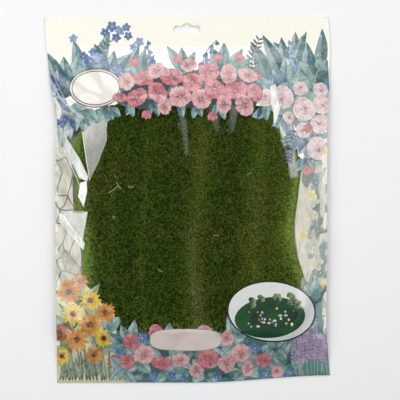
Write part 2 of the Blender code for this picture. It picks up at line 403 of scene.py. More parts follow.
def ink_material(name, watercolour, wrinkles, fade):
    """Print on film, under gloss; a back panel's print is faded."""
    made, tree, shader = new_material(name)
    ink = add_node(tree, "Attribute", attribute_name="ink").outputs
    place = add_node(tree, "UVMap", uv_map="motif")
    split = add_node(tree, "SeparateXYZ", {0: place.outputs[0]}).outputs
    look = add_node(tree, "Group", {"Ink": ink["Color"], "Outline": ink["Alpha"], "Along": split[0],
                                    "Across": split[1], "Fade": fade}, node_tree=watercolour)
    plug(tree, shader, {"Base Color": look.outputs["Color"], "Roughness": 0.42, "Coat Weight": 0.85,
                        "Coat Roughness": 0.07, "Normal": wrinkled(tree, wrinkles, 0.35, 55.0)})
    return made


def clear_film(name):
    """Bare film: seen through, and white by its attribute's share, which holds the painted glare and the thin
    washes. Gives its parts.
    """
    made, tree, shader = new_material(name)
    film = add_node(tree, "Attribute", attribute_name="ink").outputs
    plug(tree, shader, {"Base Color": film["Color"], "Roughness": 0.10})
    through = add_node(tree, "BsdfTransparent", {"Color": (0.985, 0.985, 0.98)})
    mix = add_node(tree, "MixShader", {0: film["Alpha"], 1: through.outputs[0], 2: shader.outputs[0]})
    plug(tree, tree.nodes["Material Output"], {"Surface": mix.outputs[0]})
    return made, shader, film["Alpha"], mix


def outer_film(wrinkles):
    """The bare film's outer face: painted glare laid white in streaks where it is crumpled, as are its thin
    washes, with the lamps mirrored off it.
    """
    made, shader, haze, mix = clear_film("clear film")
    tree = made.node_tree
    normal = wrinkled(tree, wrinkles, 0.30, 45.0)
    plug(tree, shader, {"Metallic": ranged(tree, haze, 0.0, 0.03, 1.0, 0.0), "Normal": normal})
    weight = add_node(tree, "LayerWeight", {"Blend": 0.5, "Normal": normal})
    slanted = math_node(tree, "POWER", weight.outputs["Facing"], 5.0)
    mirror = ranged(tree, slanted, 0.0, 1.0, 0.006, 0.4)
    # Painted glare and thin washes are laid white in streaks
    white_streaks = ranged(tree, object_noise(tree, 60.0, 4.0, (3.0, 1.0, 1.0), 0.5), 0.34, 0.66, 0.70, 1.18)
    mottled = math_node(tree, "MULTIPLY", haze, white_streaks)
    plug(tree, mix, {0: math_node(tree, "ADD", mottled, mirror, clamp=True)})
    return made


def pile_material():
    """Nylon pile: each blade has its own green, with painted shade darkening it towards its root and painted
    light near the folds.
    """
    made, tree, shader = new_material("moss pile")
    blade = add_node(tree, "Attribute", attribute_name="blade")
    tone, height, fold_light_share = add_node(tree, "SeparateColor", {0: blade.outputs["Color"]}).outputs
    ramp = add_node(tree, "ValToRGB", {0: tone})
    stops = ramp.color_ramp.elements
    stops[0].color = (*PILE_GREENS[0][1], 1)
    stops[1].color = (*PILE_GREENS[-1][1], 1)
    for position, colour in PILE_GREENS[1:-1]:
        stops.new(position).color = (*colour, 1)
    lean = ranged(tree, object_noise(tree, 20.0, 1.0), 0.38, 0.62)
    hue = mix_colour(tree, lean, (0.84, 1.0, 0.80), (1.04, 1.0, 1.0))
    green = mix_colour(tree, 1.0, ramp.outputs[0], hue, "MULTIPLY")
    # Painted shade towards each blade's root, and painted light where the pile stands open at the folds
    lit = ranged(tree, height, 0.0, 1.0, 0.22, 0.80)
    shade = math_node(tree, "ADD", lit, math_node(tree, "MULTIPLY", fold_light_share, 0.72))
    plug(tree, shader, {"Base Color": mix_colour(tree, shade, (0.0, 0.0, 0.0), green), "Roughness": 0.62,
                        "Specular IOR Level": 0.12})
    return made


def backing_material():
    """Glued base of the mat between the roots of the pile."""
    made, tree, shader = new_material("mat backing")
    speckle = object_noise(tree, 900.0)
    colour = mix_colour(tree, ranged(tree, speckle, 0.35, 0.65), srgb(46, 62, 18), srgb(92, 108, 40))
    bump = add_node(tree, "Bump", {"Distance": 0.0008, "Height": speckle})
    plug(tree, shader, {"Base Color": colour, "Roughness": 0.9, "Specular IOR Level": 0.1,
                        "Normal": bump.outputs[0]})
    return made


def plain_material(name, colour, roughness):
    """One even colour."""
    made, tree, shader = new_material(name)
    plug(tree, shader, {"Base Color": colour, "Roughness": roughness})
    return made


# Height of the film


def grid(box, margin):
    """The columns and rows of a grid over a box and a little more."""
    low, high = box
    return (np.arange(low.x - margin, high.x + margin, FIELD_STEP),
            np.arange(low.y - margin, high.y + margin, FIELD_STEP))


def seen_from_above(tree, xs, ys):
    """Heights of a surface seen from above over a grid, and whether it is under each place at all."""
    heights = np.empty((len(ys), len(xs)))
    there = np.zeros(heights.shape, bool)
    for row, y in enumerate(ys):
        for column, x in enumerate(xs):
            hit = tree.ray_cast(Vector((x, y, SKY)), DOWN)[0]
            there[row, column] = hit is not None
            if hit is None:
                hit = tree.find_nearest(Vector((x, y, 0.0)))[0]
            heights[row, column] = hit.z
    return heights, there


def neighbours(field, **padding):
    """A field shifted by one cell to each of its four sides."""
    wide = np.pad(field, 1, **padding)
    return wide[1:-1, :-2], wide[1:-1, 2:], wide[:-2, 1:-1], wide[2:, 1:-1]


def softened(field, rounds):
    """A field evened out with its neighbours."""
    for _ in range(rounds):
        west, east, south, north = neighbours(field, mode="edge")
        field = (west + east + south + north + 2 * field) / 6
    return field


def drawn_in(mask, rounds):
    """A mask made smaller by one cell a round."""
    for _ in range(rounds):
        mask = mask & np.all(neighbours(mask), axis=0)
    return mask


def taut(field, least, free, rounds):
    """Film pulled tight from its fixed places over whatever it lies on."""
    for _ in range(rounds):
        west, east, south, north = neighbours(field, mode="edge")
        field = np.where(free, np.maximum((west + east + south + north) / 4, least), field)
    return field


def facets(xs, ys, spacing, stretch, seed, rounds):
    """Crumpled film: flat facets between random corners, as heights from -1 to 1 over the grid."""
    rng = random.Random(seed)
    corners, heights = [], []
    reach_x, reach_y = spacing * stretch[0], spacing * stretch[1]
    y = ys[0] - reach_y
    while y < ys[-1] + 2 * reach_y:
        x = xs[0] - reach_x
        while x < xs[-1] + 2 * reach_x:
            corners.append(Vector((x + rng.uniform(-0.45, 0.45) * reach_x,
                                   y + rng.uniform(-0.45, 0.45) * reach_y)))
            heights.append(rng.uniform(-1, 1))
            x += reach_x
        y += reach_y
    flat, _, faces, origins, _, _ = delaunay_2d_cdt(corners, [], [], 0, 1e-7, True)
    raised = [Vector((v.x, v.y, heights[origin[0]])) for v, origin in zip(flat, origins)]
    return softened(seen_from_above(BVHTree.FromPolygons(raised, faces), xs, ys)[0], rounds)


def sampled(field, xs, ys, x, y):
    """Values of a grid field at any places."""
    column = np.clip((np.asarray(x) - xs[0]) / (xs[1] - xs[0]), 0, len(xs) - 1.001)
    row = np.clip((np.asarray(y) - ys[0]) / (ys[1] - ys[0]), 0, len(ys) - 1.001)
    c, r = column.astype(int), row.astype(int)
    dc, dr = column - c, row - r
    low = field[r, c] * (1 - dc) + field[r, c + 1] * dc
    high = field[r + 1, c] * (1 - dc) + field[r + 1, c + 1] * dc
    return low * (1 - dr) + high * dr


def step(values, start, stop):
    """A smooth step from 0 at start to 1 at stop."""
    t = np.clip((values - start) / (stop - start), 0, 1)
    return t * t * (3 - 2 * t)


def front_field():
    """Heights of the front panel's upper face over a grid: pulled tight over the mat, and crumpled."""
    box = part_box("bag_front")
    xs, ys = grid(box, FRONT_MARGIN)
    x, y = np.meshgrid(xs, ys)
    form, there = seen_from_above(solid_tree("bag_front"), xs, ys)
    mat, over = seen_from_above(solid_tree("moss_mat"), xs, ys)
    least = np.where(over, mat + FILM_CLEARANCE, LEAST_BESIDE_MAT)
    free = drawn_in(there, 3) & (y < SEAL - 0.002)
    form = softened(taut(form, least, free, TAUT_ROUNDS), 2)
    # Where the film lies on the mat, hangs loose beside it, or is the stiff header
    header = step(y, *STIFF)
    lying = softened(over.astype(float), 8)
    loose = (1 - lying) * step(form, *LOOSE) * (1 - header)
    under_seal = step(y, *GATHERED) * (1 - header)
    folds = {name: facets(xs, ys, *measures) for name, (_, *measures) in CRUMPLES.items()}
    raised = {name: CRUMPLES[name][0] * fold for name, fold in folds.items()}
    room = np.minimum(0.0010, 0.35 * np.maximum(form - least, 0.0)) + 0.0001
    crumple = (raised["big"] + raised["small"]) * loose
    crumple += (raised["streaks"] - 0.4) * room * lying
    crumple += raised["across"] * (1 - lying) * (1 - header)
    crumple += raised["header"] * header
    crumple += raised["gathers"] * under_seal
    crumple -= SEAL_DEPTH * np.exp(-((y - SEAL) / SEAL_WIDTH) ** 2)
    # Slanting folds down the left side
    slant = np.sin((y + 0.75 * x) * FULL_TURN / SLANT_PITCH + 1.3 * folds["big"])
    crumple += SLANT_HEIGHT * slant * loose * (x < SLANT_EDGE)
    field = np.maximum(form + crumple, least)
    return xs, ys, np.clip(field, LOWEST_UPPER_FACE, box[1].z - FRONT_WALL)


def outline_of(node_name):
    """The solid's outline and the outline of its slot, seen from above, in millimetres."""
    bm = merged_copy(node_name)
    upper = {f for f in bm.faces if f.normal.z > 0.2}
    follow = {}
    for edge in bm.edges:
        sides = [f for f in edge.link_faces if f in upper]
        if len(sides) != 1:
            continue
        for loop in edge.link_loops:
            if loop.face is sides[0]:
                follow[loop.vert.index] = loop.link_loop_next.vert.index
    bm.verts.ensure_lookup_table()
    loops = []
    while follow:
        first = next(iter(follow))
        loop = [first]
        after = follow.pop(first)
        while after != first and after in follow:
            loop.append(after)
            after = follow.pop(after)
        loops.append([complex(bm.verts[i].co.x / MM, bm.verts[i].co.y / MM) for i in loop])
    bm.free()
    return sorted(loops, key=lambda ring: max(p.imag for p in ring) - min(p.imag for p in ring), reverse=True)


# The print: each motif is an outline in millimetres with its inks, root and reach


def turned(turn, length=1.0):
    """A step of some length along turn in degrees."""
    return cmath.rect(length, math.radians(turn))


def motif(outline, root_ink, tip_ink, root=None, tip=None, breadth=None, drawn=1.0):
    """One printed shape. Its ink changes from root to tip, and drawn is how strong its outline is."""
    points = list(outline)
    area = sum((a.conjugate() * b).imag for a, b in zip(points, points[1:] + points[:1]))
    if area < 0:
        points.reverse()
    middle = sum(points) / len(points)
    reach = max(abs(p - middle) for p in points)
    return {
        "outline": points,
        "inks": (root_ink, tip_ink),
        "root": middle if root is None else root,
        "tip": middle + reach if tip is None else tip,
        "breadth": reach if breadth is None else breadth,
        "drawn": drawn,
    }


def petal(at, turn, length, width, root_ink, tip_ink, full=0.62, notch=0.0, sides=8, drawn=1.0):
    """A petal from a place along turn in degrees, widest at full of its length."""
    power = math.log(0.5) / math.log(full)
    heading = turned(turn)
    upper = []
    for i in range(sides + 1):
        u = (1 - math.cos(math.pi * i / sides)) / 2
        half = width / 2 * math.sin(math.pi * u ** power) ** 0.8 if 0 < u < 1 else 0.0
        pull = notch * max(0.0, 1 - half / (0.2 * width)) if u > full else 0.0
        upper.append(complex(length * (u - pull), half))
    outline = [at + heading * p for p in upper + [p.conjugate() for p in reversed(upper[1:-1])]]
    return motif(outline, root_ink, tip_ink, at, at + heading * length, width / 2, drawn)


def disc(at, radius, ink, edge_ink, sides=12, flat=1.0, turn=0.0, drawn=1.0):
    """A round or oval spot."""
    heading = turned(turn)
    angles = [FULL_TURN * i / sides for i in range(sides)]
    outline = [at + heading * complex(radius * math.cos(a), radius * flat * math.sin(a)) for a in angles]
    return motif(outline, ink, edge_ink, at, at + heading * radius, radius, drawn)


def arch(base, tip, bend):
    """A bent line from base to tip: its middle corner, and its place and heading at any share of it."""
    middle = (base + tip) / 2 + (tip - base) * 1j / abs(tip - base) * bend

    def along(t):
        place = base * (1 - t) ** 2 + middle * 2 * t * (1 - t) + tip * t * t
        return place, (middle - base) * (1 - t) + (tip - middle) * t
    return middle, along


def bent_leaf(base, tip, bend, width, light_ink, dark_ink, sides=7, full=0.42):
    """A pointed leaf on a bent midrib: its two halves are inked apart."""
    along = arch(base, tip, bend)[1]
    spine, halves = [], ([], [])
    power = math.log(0.5) / math.log(full)
    for i in range(sides + 1):
        t = i / sides
        point, heading = along(t)
        half = width / 2 * max(math.sin(math.pi * t ** power), 0.0) ** 0.9
        spine.append(point)
        for side, sign in zip(halves, (1, -1)):
            side.append(point + sign * half * 1j * heading / abs(heading))
    return [motif(spine + side[-2:0:-1], dark_ink, far, base, tip, width / 2)
            for side, far in zip(halves, (MIST, light_ink))]


def stem(points, width, ink, end_width=None):
    """A thin tapering stem along a few points."""
    end_width = width * 0.5 if end_width is None else end_width
    fine = []
    for a, b, c in zip(points, points[1:], points[2:] + [None]):
        start = a if a is points[0] else (a + b) / 2
        stop = b if c is None else (b + c) / 2
        for t in (0.0, 0.25, 0.5, 0.75):
            fine.append(start * (1 - t) ** 2 + b * 2 * t * (1 - t) + stop * t * t if c is not None
                        else start * (1 - t) + stop * t)
    fine.append(points[-1])
    left, right = [], []
    for i, point in enumerate(fine):
        heading = fine[min(i + 1, len(fine) - 1)] - fine[max(i - 1, 0)]
        share = i / (len(fine) - 1)
        half = (width * (1 - share) + end_width * share) / 2
        left.append(point + 1j * half * heading / abs(heading))
        right.append(point - 1j * half * heading / abs(heading))
    return motif(left + right[::-1], ink, ink, fine[0], fine[-1], width, 0.3)


def spray(base, tip, bend, count, first, span, ink, width):
    """An arching stem, and the shares, places and headings of count things that grow along it."""
    middle, along = arch(base, tip, bend)
    shares = [first + span * i / (count - 1) for i in range(count)]
    return stem([base, middle, tip], width, ink), [(t, *along(t)) for t in shares]


def squeezed(shape, at, view, flat):
    """A shape seen from one side: made narrower across the line of view through a place."""
    def seen(point):
        local = (point - at) / view
        return at + view * complex(local.real, local.imag * flat)
    shape["outline"] = [seen(p) for p in shape["outline"]]
    shape["root"], shape["tip"] = seen(shape["root"]), seen(shape["tip"])


def cosmos(at, radius, rng, root_ink, tip_ink, count=7):
    """An open flower with notched petals and a small pale eye, seen a little from one side."""
    start = rng.uniform(0, 360)
    view = cmath.rect(1, rng.uniform(0, 3.14))
    flat = rng.uniform(0.72, 1.0)
    made = []
    for i in [*range(0, count, 2), *range(1, count, 2)]:
        turn = start + 360 * i / count + rng.uniform(-7, 7)
        long = radius * rng.uniform(0.86, 1.06)
        made.append(petal(at, turn, long, radius * 5.6 / count, root_ink, tip_ink, full=0.70, notch=0.14))
    made.append(disc(at, radius * 0.13, STRAW, RUST, sides=7))
    for shape in made:
        squeezed(shape, at, view, flat)
    return made


def ranunculus(at, radius, rng, outer, inner):
    """A full round flower: rings of cupped petals, closer and darker to the middle."""
    made = []
    heart = at + cmath.rect(radius * 0.16, rng.uniform(0, 6.28))
    rings = ((1.0, 6, inner), (0.72, 5, inner), (0.46, 4, ROSE), (0.26, 3, DEEP_ROSE))
    for ring, (share, count, root_ink) in enumerate(rings):
        start = rng.uniform(0, 360)
        middle = at + (heart - at) * ring / 3
        for i in range(count):
            turn = start + 360 * i / count + rng.uniform(-9, 9)
            size = radius * share * rng.uniform(0.92, 1.06)
            made.append(petal(middle, turn, size, size * 1.15, root_ink, outer, full=0.74, drawn=0.8))
    return made + [disc(heart, radius * 0.12, DEEP_ROSE, ROSE, sides=7)]


def daisy(at, radius, rng, root_ink, tip_ink, count=15):
    """A composite flower: two rows of narrow petals round a dark eye."""
    made = []
    for share in (1.0, 0.8):
        start = rng.uniform(0, 360)
        for i in range(count):
            turn = start + 360 * i / count + rng.uniform(-6, 6)
            size = radius * share * rng.uniform(0.88, 1.05)
            made.append(petal(at, turn, size, radius * 0.26, root_ink, tip_ink, 0.66, sides=5, drawn=0.8))
    return made + [disc(at, radius * 0.24, BROWN, RUST)]


def star(at, radius, rng, ink, edge_ink):
    """A small five-petalled flower."""
    start = rng.uniform(0, 360)
    made = [petal(at, start + 72 * i, radius, radius * 0.78, ink, edge_ink, 0.6, sides=4, drawn=0.6)
            for i in range(5)]
    return made + [disc(at, radius * 0.2, LEMON, CREAM, sides=6)]


def tulip(at, turn, length=12):
    """A closed cup of three petals seen from the side."""
    return [petal(at, turn + lean, length * share, length * 0.56, DEEP_ROSE, ROSE, 0.5)
            for lean, share in ((24, 0.94), (-24, 0.94), (0, 1.0))]


def bells(base, tip, bend, rng, ink=BELL_BLUE):
    """A spray of hanging bells along an arching stem."""
    stalk, places = spray(base, tip, bend, 6, 0.35, 0.65, FERN, 1.4)
    made = [stalk]
    for i, (t, point, _) in enumerate(places):
        hang = -90 + (18 if i % 2 else -22) + rng.uniform(-8, 8)
        size = 9.5 * (1.1 - 0.45 * t)
        for lean in (16, -16, 0):
            made.append(petal(point, hang + lean, size, size * 0.5, SLATE_BLUE, ink, 0.72,
                              sides=5, drawn=0.7))
    return made


def frond(base, tip, bend, size, rng, light_ink, dark_ink):
    """A fern frond: leaflets in pairs along an arching stem, shorter to the tip."""
    stalk, places = spray(base, tip, bend, 9, 0.12, 0.85, dark_ink, 1.3)
    made = []
    for t, point, heading in places:
        heading /= abs(heading)
        long = size * (1.0 - 0.72 * t) + 2.5
        for side in (1, -1):
            out = point + heading * cmath.rect(long, side * math.radians(52 + rng.uniform(-6, 6)))
            made += bent_leaf(point, out, 0.08 * long * side, long * 0.34, light_ink, dark_ink, sides=4)
    return made + [stalk]


def lavender(base, tip, bend, rng):
    """A lavender sprig: small lobes in whorls on a thin stem."""
    stalk, places = spray(base, tip, bend, 11, 0.36, 0.64, SAGE, 1.0)
    made = [stalk]
    for t, point, _ in places:
        for side in (1, -1, 0):
            turn = math.degrees(cmath.phase(tip - base)) + side * 55 + rng.uniform(-12, 12)
            made.append(petal(point, turn, 4.6 - 1.2 * t, 2.7, PLUM, LILAC, sides=4, drawn=0.5))
    return made


def wash(outline, ink, edge_ink=None):
    """A flat ground of one ink with no drawn outline."""
    return motif(outline, ink, edge_ink or ink, drawn=0.0)


def plate(at, half_width, half_height, turn, ink, rim_ink, rim, sides=40, square=2.0):
    """A bare oval or rounded plate with a thin rim round it."""
    made = []
    for grow, colour in ((rim, rim_ink), (0.0, ink)):
        outline = []
        for i in range(sides):
            angle = FULL_TURN * i / sides
            c, s = math.cos(angle), math.sin(angle)
            x = math.copysign(abs(c) ** (2 / square), c) * (half_width + grow)
            y = math.copysign(abs(s) ** (2 / square), s) * (half_height + grow)
            outline.append(at + turned(turn) * complex(x, y))
        made.append(wash(outline, colour))
    return made


def garden_picture(at, rng):
    """The oval's picture: a round lawn with a path of stones, shrubs and small flowers."""
    made = plate(at, 50.0, 34.0, -4, PICTURE_PAPER, PICTURE_RIM, 1.8)
    made.append(disc(at + complex(-2, -7), 41, MOUND, LAWN, sides=28, flat=0.58, turn=5, drawn=0.0))
    made.append(disc(at + complex(3, -6), 28, LAWN, MOUND, sides=24, flat=0.4, turn=5, drawn=0.0))
    for i in range(6):
        spot = at + complex(-16 + 6.4 * i, -17 + 2.6 * i + 2.2 * math.sin(i * 1.9))
        made.append(disc(spot, 2.3, STONE, CREAM, sides=8, flat=0.62, drawn=0.8))
    for x, y, size in ((-24, 7, 9.0), (20, 11, 10.5), (29, 6, 8.0), (-13, 12, 7.0), (6, 13, 8.0)):
        foot = at + complex(x, y)
        made.append(stem([foot - 5j, foot - 2j, foot + 1j], 1.3, BROWN))
        for i in range(6):
            spot = foot + cmath.rect(size * 0.42, rng.uniform(0, 6.28)) + 1j * size * 0.35
            made.append(disc(spot, size * 0.34, FERN if i % 2 else LAWN, SPRING, sides=7, drawn=0.5))
    for _ in range(22):
        spot = at + complex(rng.uniform(-30, 29), rng.uniform(-19, 4))
        ink = rng.choice((LEMON, ROSE, CREAM, PALE_BLUE, MARIGOLD))
        made.append(disc(spot, rng.uniform(0.9, 1.7), ink, ink, sides=6, drawn=0.5))
    return made


def wavy(points, rng, swing, stops=5):
    """A line through the points, drawn with a small irregular wave."""
    out = []
    for a, b in zip(points, points[1:]):
        for i in range(stops):
            sway = complex(rng.uniform(-swing, swing), rng.uniform(-swing, swing))
            out.append(a + (b - a) * (i / stops) + sway)
    return out + [points[-1]]


def photo_place(px, py):
    """A place in the photograph as a place on the print."""
    return complex((px - ORIGIN_PIXEL[0]) * PIXEL / MM, (ORIGIN_PIXEL[1] - py) * PIXEL / MM)


def painted_glare(kind, haze, measure, *places):
    """Painted glare on the crumpled film: white inside a patch that fades over a measure, or along a crease
    so wide.
    """
    line = [photo_place(*place) for place in places]
    if kind == "crease":
        return stem(line, measure, FILM_AND_GLARE_WHITE) | {"haze": (haze, haze)}
    made = motif(line, FILM_AND_GLARE_WHITE, FILM_AND_GLARE_WHITE, line[0], line[len(line) // 2], drawn=0.0)
    return made | {"haze": haze, "soft": measure}


def sheer(shapes, haze):
    """Shapes laid down so thin that the film still shows through them."""
    return [shape | {"haze": (haze, haze)} for shape in shapes]


def leaf_fan(rng, at, turns, lengths, width, inks=LEAVES):
    """Leaves that spread from one place, turned from the first to the last of turns in degrees."""
    made = []
    for i, length in enumerate(lengths):
        turn = turns[0] + (turns[1] - turns[0]) * (i + 0.5) / len(lengths) + rng.uniform(-5, 5)
        foot = at + cmath.rect(rng.uniform(0, 5), rng.uniform(0, 6.28))
        light, dark = rng.choice(inks)
        made += bent_leaf(foot, foot + turned(turn, length), rng.uniform(-0.16, 0.16) * length,
                          width * rng.uniform(0.85, 1.15), light, dark)
    return made


def fans(rng, *rows):
    """Several leaf fans: each one's place, turns, leaf lengths, leaf width and inks."""
    return [shape for row in rows for shape in leaf_fan(rng, *row)]


def garland(rng, deep_share, *flowers):
    """Pink flowers, each given by its x, y and radius; about deep_share of them are in the deeper pink."""
    made = []
    for x, y, size in flowers:
        inks = (DEEP_ROSE, ROSE) if rng.random() < deep_share else (ROSE, BLUSH)
        made += cosmos(complex(x, y), size, rng, *inks, count=rng.choice((5, 6, 7)))
    return made


def blue_flowers(rng, *flowers):
    """Small blue flowers, each given by its x, y and radius."""
    made = []
    for x, y, size in flowers:
        inks = (SLATE_BLUE, BELL_BLUE) if rng.random() < 0.6 else (BELL_BLUE, PALE_BLUE)
        made += star(complex(x, y), size, rng, *inks)
    return made


def tulips(*flowers):
    """Pink tulips, each given by its x, y and turn."""
    return [shape for x, y, turn in flowers for shape in tulip(complex(x, y), turn)]


def left_strip(rng):
    """Pale stones with dark joints between them, down the left side."""
    corners = {}
    for row in range(9):
        for column in range(3):
            at = complex(-153 + 15 * column + 7 * (row % 2), 46 - 19 * row)
            corners[row, column] = at + complex(rng.uniform(-3.5, 3.5), rng.uniform(-4.5, 4.5))
    # The pale wash is print, and its white share also paints light over the shaded gap beside the mat
    made = sheer([wash([-156 + 60j, -156 - 110j, -124 - 110j, -122.5 - 62j, -126 - 38j, -131.5 - 12j,
                        -133 + 30j, -135 + 60j], SAND, STONE)], 0.55)
    for (row, column), at in corners.items():
        for other in ((row, column + 1), (row + 1, column), (row + 1, column - 1 + 2 * (row % 2))):
            if other in corners and rng.random() < 0.8:
                far = corners[other]
                # The joints stop short of the window
                if max(at.real, far.real) > -127:
                    continue
                bend = (at + far) / 2 + complex(rng.uniform(-3, 3), rng.uniform(-3, 3))
                made.append(stem([at, bend, far], 1.4, JOINT, 1.1))
    return made


def right_strip(rng):
    """Thin pale sprays with yellow and blue-grey flowers, down the right side."""
    # The pale wash is print, and its white share also paints light over the shaded gap beside the mat
    made = sheer([wash([135 + 52j, 131.5 + 34j, 128.5 + 8j, 124.5 - 24j, 124.5 - 44j, 128.5 - 68j, 138 - 98j,
                        163 - 96j, 164 + 52j], PAPER, SAND)], 0.50)
    for i in range(8):
        foot = complex(145 + rng.uniform(-6, 7), -108 + 18 * i)
        made += sheer(leaf_fan(rng, foot, (15, 130), (26, 30, 20), 9, ((MIST, TWIG), (SAGE, TWIG))), 0.55)
        made.append(stem([foot, foot + complex(rng.uniform(-7, 7), 12), foot + complex(0, 25)], 0.9, JOINT))
    for i in range(10):
        at = complex(rng.uniform(133, 158), -96 + 13 * i + rng.uniform(-5, 5))
        inks = ((LEMON, CREAM), (SLATE_BLUE, MIST), (PALE_STRAW, CREAM), (MIST, CREAM))[i % 4]
        made += sheer(star(at, rng.uniform(6.5, 10), rng, *inks), 0.56)
    return made


def header_sprays(rng):
    """Tall leaves and blue flowers that reach into the header from both upper corners."""
    made = [half for leaf in (
        (-104 + 140j, -90 + 196j, 7, 17, SEA, TEAL), (-90 + 136j, -56 + 182j, -10, 17, TEAL, DEEP_TEAL),
        (-128 + 140j, -133 + 186j, -6, 15, TEAL, SLATE_BLUE), (-72 + 140j, -68 + 168j, 4, 12, SEA, TEAL),
        (150 + 146j, 157 + 200j, -6, 15, TEAL, DEEP_TEAL), (138 + 150j, 126 + 196j, 8, 16, SEA, TEAL),
        (118 + 150j, 100 + 184j, -6, 14, TEAL, DEEP_TEAL)) for half in bent_leaf(*leaf)]
    return made + blue_flowers(rng, (-88, 202, 7), (-79, 197, 6.5), (-96, 195, 6), (-83, 189, 6),
                               (-71, 201, 5.5), (-69, 191, 5.5), (-56, 184, 6), (-63, 178, 5),
                               (-133, 188, 5.5))


def top_left_border(rng):
    """Broad leaves, small blue flowers and the bare badge."""
    made = fans(rng, (-142 + 118j, (60, 150), (58, 50, 62, 44), 21),
                (-148 + 100j, (90, 262), (30, 32, 28, 32, 26, 28), 17, BLUE_LEAVES),
                (-100 + 132j, (20, 128), (50, 52, 46, 50, 44), 20, LEAVES[::-1]),
                (-84 + 124j, (-12, 72), (40, 46, 44, 34), 18, BLUE_LEAVES),
                (-118 + 106j, (205, 325), (27, 24, 27, 22, 24), 15),
                (-142 + 90j, (225, 300), (24, 30, 26), 11, ((MIST, SEA), (MIST, LILAC))),
                (-92 + 108j, (222, 340), (20, 18, 20, 16), 12),
                (-150 + 122j, (70, 170), (34, 30, 36), 17, BLUE_LEAVES),
                (-132 + 100j, (150, 300), (22, 24, 20, 22), 15, BLUE_LEAVES))
    made += frond(-112 + 142j, -92 + 186j, 6, 12.0, rng, SEA, TEAL)
    made += blue_flowers(rng, (-151, 106, 8.5), (-157, 117, 7), (-147, 93, 7), (-153, 97, 6),
                         (-156, 128, 6.5), (-144, 111, 6), (-113, 161, 7.5), (-104, 166, 6.5),
                         (-121, 167, 6), (-110, 172, 5.5), (-97, 160, 6), (-84, 153, 7), (-77, 147, 6),
                         (-89, 146, 5.5))
    made += plate(-106 + 129.5j, 30.2, 22.0, 0, BADGE_EDGE, OUTLINE, 1.2)
    made += plate(-106 + 129.5j, 27.2, 19.3, 0, BADGE, OUTLINE, 1.0)
    return made


def top_border(rng):
    """The pink garland over dark leaves."""
    made = [wash([-74 + 112j, -52 + 104j, -20 + 108j, 14 + 104j, 44 + 108j, 78 + 106j, 88 + 128j,
                  70 + 148j, 40 + 156j, 4 + 150j, -36 + 154j, -64 + 144j, -78 + 128j], GAP_SHADE, DEEP_TEAL)]
    made += fans(rng, (-52 + 140j, (52, 128), (34, 38, 30), 14), (-8 + 144j, (48, 132), (34, 30, 36), 14),
                 (40 + 146j, (20, 124), (36, 42, 34, 30), 16),
                 *((complex(x, 112), (240, 300), (16, 18), 9) for x in (-66, -40, -8, 12, 36, 70)))
    made += bells(-30 + 150j, -46 + 186j, 8, rng) + bells(16 + 146j, 34 + 186j, 8, rng)
    made += garland(rng, 0.45, (-70, 136, 12), (-58, 118, 15), (-50, 141, 14), (-34, 124, 15), (-36, 150, 11),
                    (-26, 108, 11), (-18, 142, 15), (-8, 119, 15), (6, 136, 14), (2, 156, 10),
                    (16, 116, 14), (24, 148, 14), (32, 128, 15), (42, 111, 13), (48, 146, 14),
                    (56, 126, 16), (66, 109, 14), (70, 144, 13), (78, 124, 13), (-78, 118, 9))
    return made + tulips((-60, 154, 112), (-12, 158, 84), (36, 160, 96), (58, 160, 62), (-46, 104, 262),
                         (28, 102, 280))


def top_right_border(rng):
    """Tall leaves up the corner, with a pale blue-green wash between them."""
    blues = ((TEAL, SLATE_BLUE), (SEA, TEAL), (MIST, SEA))
    made = [wash([84 + 128j, 100 + 160j, 128 + 166j, 164 + 162j, 166 + 112j, 120 + 116j], SEA, SLATE_BLUE)]
    made += fans(rng, (92 + 126j, (68, 150), (54, 60, 48), 19), (116 + 130j, (36, 128), (62, 70, 58, 64), 20),
                 (146 + 128j, (58, 138), (44, 54, 46), 17, blues),
                 (150 + 112j, (-20, 70), (18, 24, 22), 13, ((SLATE_BLUE, DEEP_TEAL), (TEAL, DEEP_TEAL))),
                 (110 + 132j, (10, 170), (30, 34, 36, 30, 28), 16, blues),
                 (156 + 136j, (60, 130), (34, 30, 32), 14, ((SEA, DEEP_TEAL), (TEAL, DEEP_TEAL))))
    made += frond(76 + 140j, 84 + 188j, 7, 13.0, rng, SEA, DEEP_TEAL)
    return made + bells(140 + 142j, 118 + 186j, 9, rng, PALE_BLUE)


def right_border(rng):
    """Pale full flowers, falling down the right side."""
    inks = ((SLATE_BLUE, DEEP_TEAL), (SEA, TEAL), (MIST, SLATE_BLUE))
    made = [wash([86 + 118j, 112 + 128j, 166 + 124j, 166 + 44j, 148 + 40j, 134 + 66j, 122 + 88j,
                  98 + 102j], TWIG, SEA)]
    for at, turns in ((92 + 108j, (190, 280)), (112 + 96j, (200, 290)), (128 + 72j, (170, 260)),
                      (138 + 50j, (200, 320)), (150 + 104j, (300, 420)), (146 + 74j, (0, 120)),
                      (146 + 96j, (130, 250)), (122 + 112j, (40, 150)), (100 + 124j, (20, 150)),
                      (146 + 46j, (20, 150)), (140 + 66j, (160, 300)), (132 + 60j, (60, 200))):
        made += leaf_fan(rng, at, turns, (21, 18, 20), 11, inks)
    made += frond(128 + 84j, 117 + 44j, -6, 11.0, rng, TEAL, SLATE_BLUE)
    for x, y, size in ((155, 128, 9), (90, 118, 11), (131, 129, 9), (110, 118, 14), (156, 110, 11),
                       (135, 105, 14), (155, 88, 12), (134, 80, 9), (152, 59, 14), (117, 95, 7)):
        inner = BLUSH if rng.random() < 0.7 else ROSE
        made += ranunculus(complex(x, y), size, rng, SHELL, inner)
    return made + tulips((78, 138, 70), (142, 88, 250), (140, 40, 265))


